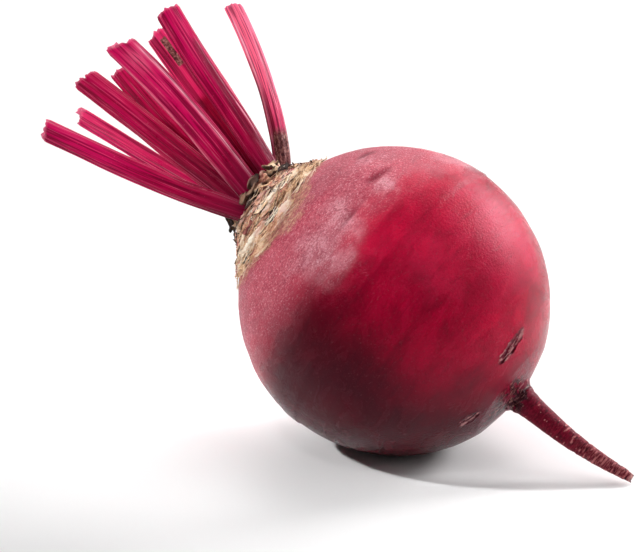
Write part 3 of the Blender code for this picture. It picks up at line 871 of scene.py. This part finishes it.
def make_stalk(letter, foot, fan, front, length, size, waist, cut, facing, tone, stripes):
    """A ribbed stalk along its curve, with a torn cut end."""
    draw = random.Random("stalk " + letter)
    own_seed = ord(letter)
    t, turn, reach = stalk_grid()
    start, elbow, tip = stalk_path(foot, fan, front, length)
    lean = t[:, None]
    along = unit((elbow - start) * (1 - lean) + (tip - elbow) * lean)
    back = across(math.cos(math.radians(facing)), -math.sin(math.radians(facing)), 0.0)
    out = unit(back - along * (along @ back)[:, None])
    side = np.cross(out, along)
    rib, pale = stalk_ribs(turn, t, draw)
    own = round_axis(turn, 2.2, length * t)
    rib = rib + 0.12 * noise(own, (1.6, 1.6, 9), 301 + own_seed) + 0.03 * noise(own, (0.6, 0.6, 5), 302)
    wide, deep = stalk_section(t, turn, rib, size, waist)
    shrink = (1 - 0.05 * smoothstep(0.985, 1, t)) * reach
    bend = 0.35 * np.sin(5 * t + 2 * draw.random() * math.pi) * t * (1 - t) * 2
    up = cut_height(own_seed, t, turn, reach, wide, deep, rib, cut)
    centre = start * (1 - lean) ** 2 + elbow * 2 * lean * (1 - lean) + tip * lean**2
    points = centre + side * (wide * shrink + bend)[:, None] + out * (deep * shrink)[:, None]
    points += along * up[:, None]
    points = np.concatenate([points, [points[:STALK_SIDES].mean(0)], [points[-STALK_SIDES:].mean(0)]])
    masks = dict(
        stripe_and_highlight=(stripe_mask(t, turn, pale, stripes), (0, 0)),
        rib=(rib, (0, 0)),
        share=(t, (1, 0)),
        inner=(1 - smoothstep(0.9, 1.0, reach), (1, 1)),
        dry=(dry_mask(letter, t, turn), (0, 0)),
    )
    values = {key: np.append(mask, ends) for key, (mask, ends) in masks.items()}
    values["tone"] = np.full(len(points), tone)
    own[:, :2] *= reach[:, None]
    values["own"] = np.concatenate([own, [[0, 0, length], [0, 0, 0]]])
    faces = tube_faces(len(t) // STALK_SIDES, STALK_SIDES)
    return write_mesh("stalk_skin_" + letter, points, faces, **values)


# Materials

EVEN = (1, 1, 1)


class Paint:
    """One material's nodes, and the colour that its coats build up."""

    def __init__(self, name, place=None):
        """Noises lie in the named vector values of the mesh, or else in the object's own space."""
        self.material = bpy.data.materials.new(name)
        self.material.use_nodes = True
        self.tree = self.material.node_tree
        self.shader = self.tree.nodes["Principled BSDF"]
        self.at = self.read(place, "Vector") if place else self.add("TexCoord", {}).outputs["Object"]
        self.colour = None

    def put(self, socket, value):
        """Links another node's output to an input, or sets the input to a number, vector or colour."""
        if isinstance(value, bpy.types.NodeSocket):
            self.tree.links.new(value, socket)
        elif isinstance(value, tuple) and len(value) == 3 and socket.type == "RGBA":
            socket.default_value = (*value, 1)
        else:
            socket.default_value = value

    def put_all(self, node, values):
        for key, value in values.items():
            self.put(node.inputs[key], value)

    def add(self, kind, settings, *values):
        made = self.tree.nodes.new("ShaderNode" + kind)
        for key, value in settings.items():
            setattr(made, key, value)
        for socket, value in zip(made.inputs, values):
            self.put(socket, value)
        return made

    def read(self, name, output="Fac"):
        return self.add("Attribute", {"attribute_name": name}).outputs[output]

    def larger(self, first, second):
        return self.add("Math", {"operation": "MAXIMUM"}, first, second).outputs[0]

    def plus(self, total, *others):
        for other in others:
            total = self.add("Math", {"operation": "ADD"}, total, other).outputs[0]
        return total

    def times(self, first, second, clamp=False):
        return self.add("Math", {"operation": "MULTIPLY", "use_clamp": clamp}, first, second).outputs[0]

    def noise(self, stretch, scale, detail, roughness, distortion=0.0):
        made = self.add("TexNoise", {})
        vector = self.add("VectorMath", {"operation": "MULTIPLY"}, self.at, stretch).outputs[0]
        values = dict(Vector=vector, Scale=scale, Detail=detail, Roughness=roughness, Distortion=distortion)
        self.put_all(made, values)
        return made.outputs["Fac"]

    def between(self, value, low, high, to_low=0.0, to_high=1.0):
        made = self.add("MapRange", {"interpolation_type": "SMOOTHSTEP"}, value, low, high, to_low, to_high)
        return made.outputs["Result"]

    def mix(self, share, first, second):
        made = self.add("Mix", {"data_type": "RGBA"})
        for i, value in ((0, share), (6, first), (7, second)):
            self.put(made.inputs[i], value)
        return made.outputs[2]

    def coat(self, share, colour):
        """Lays a colour over what is there."""
        self.colour = self.mix(share, self.colour, colour)

    def coats(self, *rows):
        """Lays colours by masks: (mask or its name, its low and high ends, the greatest share, colour)."""
        for mask, low, high, most, colour in rows:
            mask = self.read(mask) if isinstance(mask, str) else mask
            self.coat(self.between(mask, low, high, 0.0, most), colour)

    def ramp(self, value, *stops):
        made = self.add("ValToRGB", {}, value)
        elements = made.color_ramp.elements
        while len(elements) < len(stops):
            elements.new(1.0)
        for element, (place, colour) in zip(elements, stops):
            element.position = place
            element.color = (*colour, 1)
        return made.outputs["Color"]

    def finish(self, roughness, height, depth, gloss):
        """Sets the shader, with a bump from a height, where depth is a height of 1 in metres."""
        bump = self.add("Bump", {})
        self.put_all(bump, {"Strength": 1.0, "Distance": depth, "Height": height})
        surface = {"Base Color": self.colour, "Roughness": roughness, "Normal": bump.outputs["Normal"]}
        self.put_all(self.shader, surface | gloss)
        return self.material


def skin_grains(paint):
    """The noises that several coats of the skin share."""
    noise = paint.noise
    return SimpleNamespace(
        blotch=noise((0.5, 0.5, 1.0), 0.22, 4.0, 0.6, 0.6),
        streak=noise((0.07, 0.07, 0.55), 1.0, 5.0, 0.65, 0.8),
        speck=noise(EVEN, 1.6, 3.0, 0.65),
        grain=noise((0.8, 0.8, 1.3), 2.2, 3.0, 0.7),
        flecks=noise((0.8, 0.8, 1.2), 2.3, 5.0, 0.75, 0.3),
        rings=noise((0.5, 0.5, 2.6), 1.5, 4.0, 0.7, 0.3),
        strand=noise((0.4, 0.4, 1.7), 1.3, 5.0, 0.75, 1.2),
        scaly=noise((0.7, 0.7, 1.3), 1.5, 4.0, 0.75, 0.8),
    )


def crimson_coats(paint, grains):
    """Mottled crimson, streaked round the axis, with rosy areas, one of them a painted highlight glow."""
    between, streak, grain = paint.between, grains.streak, grains.grain
    large = paint.noise(EVEN, 0.055, 2.0, 0.5, 0.4)
    paint.colour = paint.ramp(
        paint.plus(paint.times(large, 0.5), paint.times(grains.blotch, 0.5)),
        (0.36, (0.23, 0.0004, 0.016)),
        (0.48, (0.37, 0.0006, 0.025)),
        (0.56, (0.46, 0.0008, 0.031)),
        (0.66, (0.57, 0.0015, 0.036)),
    )
    paint.coats(
        (streak, 0.54, 0.78, 0.45, (0.14, 0.0003, 0.016)),
        (streak, 0.42, 0.28, 0.25, (0.64, 0.004, 0.04)),
        (grain, 0.56, 0.74, 0.2, (0.72, 0.07, 0.15)),
        (grain, 0.46, 0.28, 0.5, (0.13, 0.0003, 0.012)),
    )
    # Rosy areas; the first is a painted glow round the key lamp's highlight
    paint.coat(paint.times(paint.read("rosy"), between(streak, 0.66, 0.45, 0.45, 0.85)), (0.62, 0.022, 0.08))


def film_coats(paint, grains):
    """The dry greyish film, partly a painted sheen, with its bright and dull flecks, then the dents and the
    painted shade on the sides that face away from the lamps.
    """
    between, times = paint.between, paint.times
    scurf_and_sheen, scuff_and_sheen = paint.read("scurf_and_sheen"), paint.read("scuff_and_sheen")
    drift = paint.noise((0.6, 0.6, 1.2), 0.3, 4.0, 0.6, 0.4)
    patchy = paint.plus(times(drift, 0.55), times(grains.flecks, 0.45))
    dusty_and_sheen = times(scurf_and_sheen, between(patchy, 0.42, 0.6, 0.65, 1.0), clamp=True)
    scuffed_and_sheen = times(scuff_and_sheen, between(patchy, 0.4, 0.58, 0.35, 1.0), clamp=True)
    film = paint.larger(scurf_and_sheen, scuff_and_sheen)
    # The dry film and the scuffs, lightened in part as a painted sheen near the top and upper left
    paint.coat(times(dusty_and_sheen, 0.6), (0.8, 0.2, 0.265))
    paint.coat(times(scuffed_and_sheen, 0.8), (0.9, 0.44, 0.5))
    paint.coat(times(times(film, between(grains.flecks, 0.54, 0.64)), 0.62), (0.97, 0.62, 0.66))
    paint.coat(times(times(film, between(grains.flecks, 0.47, 0.38)), 0.6), (0.28, 0.02, 0.05))
    paint.coat(times(paint.read("dent"), 0.85), (0.2, 0.003, 0.022))
    # Painted shade on the sides that face away from the lamps
    paint.coat(times(paint.read("under"), 0.9), (0.024, 0.0002, 0.003))


def tail_coats(paint, grains, tail, down):
    """The brown tap root and the creased, scabby flare above it."""
    ramp, rings = paint.ramp, grains.rings
    bark = paint.noise((0.5, 0.5, 1.4), 1.6, 5.0, 0.7, 0.5)
    flare = paint.times(paint.read("flare"), paint.between(bark, 0.36, 0.6, 0.3, 0.9), clamp=True)
    upper = ramp(
        bark, (0.35, (0.05, 0.001, 0.006)), (0.5, (0.16, 0.002, 0.016)), (0.66, (0.32, 0.012, 0.035))
    )
    lower = ramp(rings, (0.4, (0.07, 0.004, 0.012)), (0.5, (0.24, 0.03, 0.045)), (0.6, (0.5, 0.14, 0.14)))
    scab = ramp(rings, (0.44, (0.012, 0.002, 0.004)), (0.56, (0.05, 0.008, 0.012)), (0.66, (0.42, 0.2, 0.17)))
    torn = ramp(bark, (0.42, (0.10, 0.02, 0.03)), (0.55, (0.72, 0.36, 0.33)))
    paint.coat(paint.times(tail, 0.92), paint.mix(down, upper, lower))
    paint.coat(flare, (0.11, 0.003, 0.022))
    paint.coats(
        ("lines", 0.2, 0.8, 0.7, (0.5, 0.17, 0.19)),
        ("scab", 0.15, 0.55, 0.95, scab),
        ("bars", 0.2, 0.6, 0.9, (0.6, 0.19, 0.19)),
        ("nicks", 0.3, 0.8, 0.85, (0.03, 0.002, 0.006)),
        ("tip", 0.5, 1.0, 1.0, torn),
    )


def scar_coats(paint):
    """Dark torn scars with paler ridges."""
    rough = paint.noise((0.6, 0.6, 1.0), 2.6, 4.0, 0.7)
    wound = paint.ramp(
        paint.plus(paint.times(paint.read("ridge"), 0.3), rough),
        (0.42, (0.035, 0.003, 0.008)),
        (0.6, (0.1, 0.02, 0.027)),
        (0.76, (0.42, 0.19, 0.19)),
    )
    ragged = paint.plus(paint.read("scar"), paint.between(rough, 0.35, 0.65, -0.4, 0.35))
    paint.coats((ragged, 0.05, 1.0, 0.9, wound))


def cork_coat(paint, grains, cork):
    """Tan scaly cork next to the crown. Returns where it lies."""
    between, strand, scaly = paint.between, grains.strand, grains.scaly
    tan = paint.ramp(
        strand,
        (0.34, (0.26, 0.04, 0.05)),
        (0.43, (0.52, 0.15, 0.14)),
        (0.52, (0.68, 0.34, 0.24)),
        (0.66, (0.88, 0.62, 0.44)),
    )
    tan = paint.mix(between(scaly, 0.5, 0.68, 0.0, 0.7), tan, (0.58, 0.13, 0.15))
    tan = paint.mix(between(scaly, 0.46, 0.36, 0.0, 0.85), tan, (0.16, 0.05, 0.035))
    broken = paint.plus(cork, paint.times(strand, 1.3), paint.times(grains.flecks, 0.9))
    share = paint.times(between(broken, 1.4, 1.95), between(cork, 0.0, 0.25))
    paint.coat(share, tan)
    return share


def skin_material():
    """Thin beetroot skin: crimson, with a dry film near the crown, cork beside it and a brown tap root."""
    paint = Paint("beetroot_skin", "growth")
    between, times = paint.between, paint.times
    grains = skin_grains(paint)
    tail, cork = paint.read("tail"), paint.read("cork")
    down = between(paint.add("SeparateXYZ", {}, paint.at).outputs["Z"], -52.0, -66.0)
    crimson_coats(paint, grains)
    film_coats(paint, grains)
    tail_coats(paint, grains, tail, down)
    scar_coats(paint)
    corky = cork_coat(paint, grains, cork)
    scurf_and_sheen = paint.read("scurf_and_sheen")
    height = paint.plus(
        times(grains.speck, 0.3),
        times(grains.grain, 0.28),
        times(grains.flecks, times(scurf_and_sheen, 1.6)),
        times(grains.rings, times(tail, between(down, 0.0, 1.0, 0.15, 0.9))),
        times(paint.plus(grains.strand, grains.scaly), times(cork, 1.6)),
    )
    dull = times(paint.larger(corky, tail), 0.28)
    roughness = paint.plus(between(grains.blotch, 0.3, 0.7, 0.22, 0.3), times(scurf_and_sheen, 0.08), dull)
    gloss = {"IOR": 1.23, "Specular Tint": (1.0, 0.56, 0.74)}
    sheen = {"Sheen Weight": 0.01, "Sheen Roughness": 0.4, "Sheen Tint": (1.0, 0.72, 0.78)}
    return paint.finish(roughness, height, 0.35 * MM, gloss | sheen)


def cork_material():
    """Dry torn leaf bases: cream to brown, streaked along the fibres, with painted shade nearly black in the
    pockets.
    """
    paint = Paint("dry_crown", "growth")
    between, times = paint.between, paint.times
    strand = paint.noise((0.3, 0.3, 1.6), 1.3, 5.0, 0.7, 0.8)
    fine = paint.noise((0.5, 0.5, 1.6), 3.2, 4.0, 0.7, 0.4)
    spot = paint.noise(EVEN, 0.8, 3.0, 0.6)
    tone = paint.plus(times(paint.read("tint"), 0.5), times(strand, 0.7))
    paint.colour = paint.ramp(
        paint.plus(tone, between(fine, 0.25, 0.75, -0.14, 0.14)),
        (0.32, (0.10, 0.03, 0.02)),
        (0.44, (0.38, 0.17, 0.09)),
        (0.56, (0.66, 0.38, 0.21)),
        (0.7, (0.86, 0.6, 0.38)),
        (0.86, (0.95, 0.84, 0.7)),
    )
    paint.coats((spot, 0.56, 0.72, 0.5, (0.42, 0.2, 0.08)))
    paint.coat(times(paint.read("red"), 0.8), (0.58, 0.12, 0.14))
    # Painted shade in the pockets, gaps, slits and on the scales' undersides, with darker patches, from the
    # dark value
    paint.coats(("dark", 0.3, 0.95, 1.0, (0.03, 0.012, 0.009)))
    height = paint.plus(strand, times(fine, 0.5))
    return paint.finish(between(fine, 0.3, 0.7, 0.65, 0.9), height, 0.3 * MM, {"IOR": 1.4})


def stalk_material():
    """Fresh ribbed stalk: crimson to magenta, with pale ridges, pale stripes that are partly painted
    highlights, painted shade in the grooves, and a paler, wetter cut end.
    """
    paint = Paint("leaf_stalk", "own")
    between, times, read = paint.between, paint.times, paint.read
    share = read("share")
    strand = paint.noise((1.6, 1.6, 0.045), 1.0, 4.0, 0.65, 0.3)
    fine = paint.noise((4.5, 4.5, 0.25), 1.0, 3.0, 0.6, 0.2)
    cloud = paint.noise((0.35, 0.35, 0.09), 1.0, 3.0, 0.6)
    dots = paint.noise(EVEN, 3.0, 2.0, 0.6)
    line = paint.noise((3.4, 3.4, 0.05), 1.0, 2.0, 0.5, 0.1)
    bark = paint.noise((1.2, 1.2, 0.6), 1.6, 4.0, 0.7)
    tone = paint.plus(times(read("tone"), 0.55), times(strand, 0.4), times(cloud, 0.25))
    paint.colour = paint.ramp(
        paint.plus(tone, between(share, 0.1, 0.8, -0.15, 0.02)),
        (0.35, (0.24, 0.0004, 0.024)),
        (0.5, (0.44, 0.0006, 0.052)),
        (0.66, (0.64, 0.003, 0.1)),
        (0.85, (0.84, 0.03, 0.16)),
        (1.0, (1.0, 0.15, 0.27)),
    )
    pale = times(read("stripe_and_highlight"), between(fine, 0.3, 0.6, 0.55, 1.0), clamp=True)
    dry = paint.ramp(
        bark, (0.38, (0.05, 0.02, 0.018)), (0.52, (0.22, 0.075, 0.07)), (0.68, (0.56, 0.3, 0.24))
    )
    flesh = paint.ramp(dots, (0.4, (0.5, 0.02, 0.08)), (0.6, (0.85, 0.18, 0.3)))
    # Pale stripes, partly painted highlights, then painted shade in the grooves between the ribs
    paint.coats(
        (pale, 0.1, 0.95, 0.85, (0.9, 0.27, 0.4)),
        (pale, 0.62, 1.0, 0.6, (0.98, 0.62, 0.72)),
        ("rib", 0.0, -0.12, 0.6, (0.13, 0.0, 0.014)),
        (line, 0.46, 0.36, 0.75, (0.13, 0.0, 0.016)),
        (line, 0.58, 0.68, 0.4, (0.88, 0.12, 0.26)),
        (dots, 0.66, 0.8, 0.25, (0.9, 0.3, 0.4)),
        (share, 0.42, 0.02, 0.75, (0.14, 0.002, 0.02)),
        ("dry", 0.2, 0.8, 1.0, dry),
    )
    paint.coat(times(read("inner"), 0.9), flesh)
    paint.coats((share, 0.988, 1.0, 0.35, (0.8, 0.2, 0.32)))
    height = paint.plus(strand, times(fine, 0.6), times(dots, 0.15))
    gloss = {"IOR": 1.27, "Specular Tint": (1.0, 0.4, 0.65)}
    return paint.finish(between(cloud, 0.3, 0.7, 0.26, 0.4), height, 0.18 * MM, gloss)


def floor_material():
    """A plain pale studio floor."""
    paint = Paint("pale_floor")
    cloud = paint.noise(EVEN, 3.0, 2.0, 0.5)
    paint.colour = paint.mix(cloud, (0.91, 0.91, 0.915), (0.93, 0.93, 0.93))
    return paint.finish(0.65, cloud, 0.01 * MM, {})


# Studio

VIEW_TURN = math.radians(26)
VIEW_RISE = math.radians(18)
FOCAL_PIXELS = 2670.0
PHOTO_WIDTH = 640.0
PIXELS_PER_MM = 4.107
GLOBE_OFF_CENTRE = (75.0, 26.0)
SENSOR = 36.0
FLOOR_SIDE = 4.0
FLOOR_DROP = 0.00002
WORLD_LIGHT = 0.08
LAMP_TARGET = Vector((0, 0, 0.035))
SOFTBOX_DISTANCE = 1.8
SPOT_DISTANCE = 1.2
SPOT_RADIUS = 0.1
# Soft boxes: direction as (right, up, towards the camera), side in metres, and power
SOFTBOXES = {
    "key": ((0.80, 0.53, -0.28), 0.55, 22),
    "right behind": ((0.6, 0.6, -0.55), 0.8, 10),
    "behind": ((0.0, 0.7, -0.7), 0.8, 7),
    "above": ((0.15, 1.0, -0.1), 1.3, 14),
    "right front": ((0.65, 0.5, 0.55), 1.5, 10),
}
# Soft-edged spots on small parts: direction, the point they face, the cone in radians, and power
SPOTS = {
    "left": ((-0.76, 0.56, 0.32), Vector((-0.032, -0.010, 0.060)), 0.078, 410),
    "stalks": ((-0.2, 0.6, 0.75), Vector((-0.047, -0.003, 0.093)), 0.067, 70),
}


def view_axes():
    a, e = VIEW_TURN, VIEW_RISE
    right = Vector((math.cos(a), math.sin(a), 0))
    back = Vector((math.sin(a) * math.cos(e), -math.cos(a) * math.cos(e), math.sin(e)))
    return right, back.cross(right), back


def make_camera():
    right, up, back = view_axes()
    globe = Vector((0, 0, (GLOBE_RADIUS - FLAT_DEPTH) * MM))
    aside, above = (pixels / PIXELS_PER_MM * MM for pixels in GLOBE_OFF_CENTRE)
    data = bpy.data.cameras.new("camera")
    data.sensor_width = SENSOR
    data.lens = FOCAL_PIXELS / PHOTO_WIDTH * SENSOR
    data.clip_start, data.clip_end = 0.01, 20
    camera = bpy.data.objects.new("camera", data)
    camera.location = globe - right * aside + up * above + back * (FOCAL_PIXELS / PIXELS_PER_MM * MM)
    camera.rotation_mode = "QUATERNION"
    camera.rotation_quaternion = (-back).to_track_quat("-Z", "Y")
    bpy.context.scene.collection.objects.link(camera)
    bpy.context.scene.camera = camera


def add_lamp(name, kind, power, direction, target, distance):
    """A lamp at that distance from its target, which it faces. Returns its settings."""
    data = bpy.data.lights.new(name, kind)
    data.energy = power
    lamp = bpy.data.objects.new(name, data)
    right, up, back = view_axes()
    way = (right * direction[0] + up * direction[1] + back * direction[2]).normalized()
    lamp.location = target + way * distance
    lamp.rotation_mode = "QUATERNION"
    lamp.rotation_quaternion = (-way).to_track_quat("-Z", "Y")
    bpy.context.scene.collection.objects.link(lamp)
    return data


def make_lights():
    for name, (direction, side, power) in SOFTBOXES.items():
        data = add_lamp(name, "AREA", power, direction, LAMP_TARGET, SOFTBOX_DISTANCE)
        data.shape = "RECTANGLE"
        data.size, data.size_y = side, side
    for name, (direction, target, cone, power) in SPOTS.items():
        data = add_lamp(name, "SPOT", power, direction, target, SPOT_DISTANCE)
        data.spot_size = cone
        data.spot_blend = 1.0
        data.shadow_soft_size = SPOT_RADIUS


def make_studio():
    """The floor, an even world light, the lamps, and colours shown as they are."""
    s = FLOOR_SIDE
    mesh = bpy.data.meshes.new("floor")
    mesh.from_pydata([(-s, -s, 0), (s, -s, 0), (s, s, 0), (-s, s, 0)], [], [(0, 1, 2, 3)])
    mesh.materials.append(floor_material())
    floor = bpy.data.objects.new("floor", mesh)
    floor.location.z = -FLOOR_DROP
    bpy.context.scene.collection.objects.link(floor)
    world = bpy.data.worlds.new("studio")
    world.use_nodes = True
    background = world.node_tree.nodes["Background"]
    background.inputs["Color"].default_value = (1, 1, 1, 1)
    background.inputs["Strength"].default_value = WORLD_LIGHT
    bpy.context.scene.world = world
    make_lights()
    view = bpy.context.scene.view_settings
    view.view_transform = "Standard"
    view.look = "None"


def add_piece(piece, slot, material, *nodes):
    """Puts a finished piece, with its material, on the body, and hides the solids that it stands for. The
    slot is not used.
    """
    piece.data.materials.append(material)
    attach(piece, "root")
    if nodes:
        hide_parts(*nodes)


def main():
    add_piece(make_root(), "skin", skin_material(), "root")
    cork = cork_material()
    add_piece(make_collar(), "cork", cork, "crown")
    add_piece(make_scales(), "cork", cork)
    add_piece(make_fibres(), "cork", cork)
    fresh = stalk_material()
    for letter, dimensions in STALKS.items():
        add_piece(make_stalk(letter, *dimensions), "stalk", fresh, "stalk_" + letter)
    make_studio()
    make_camera()


main()
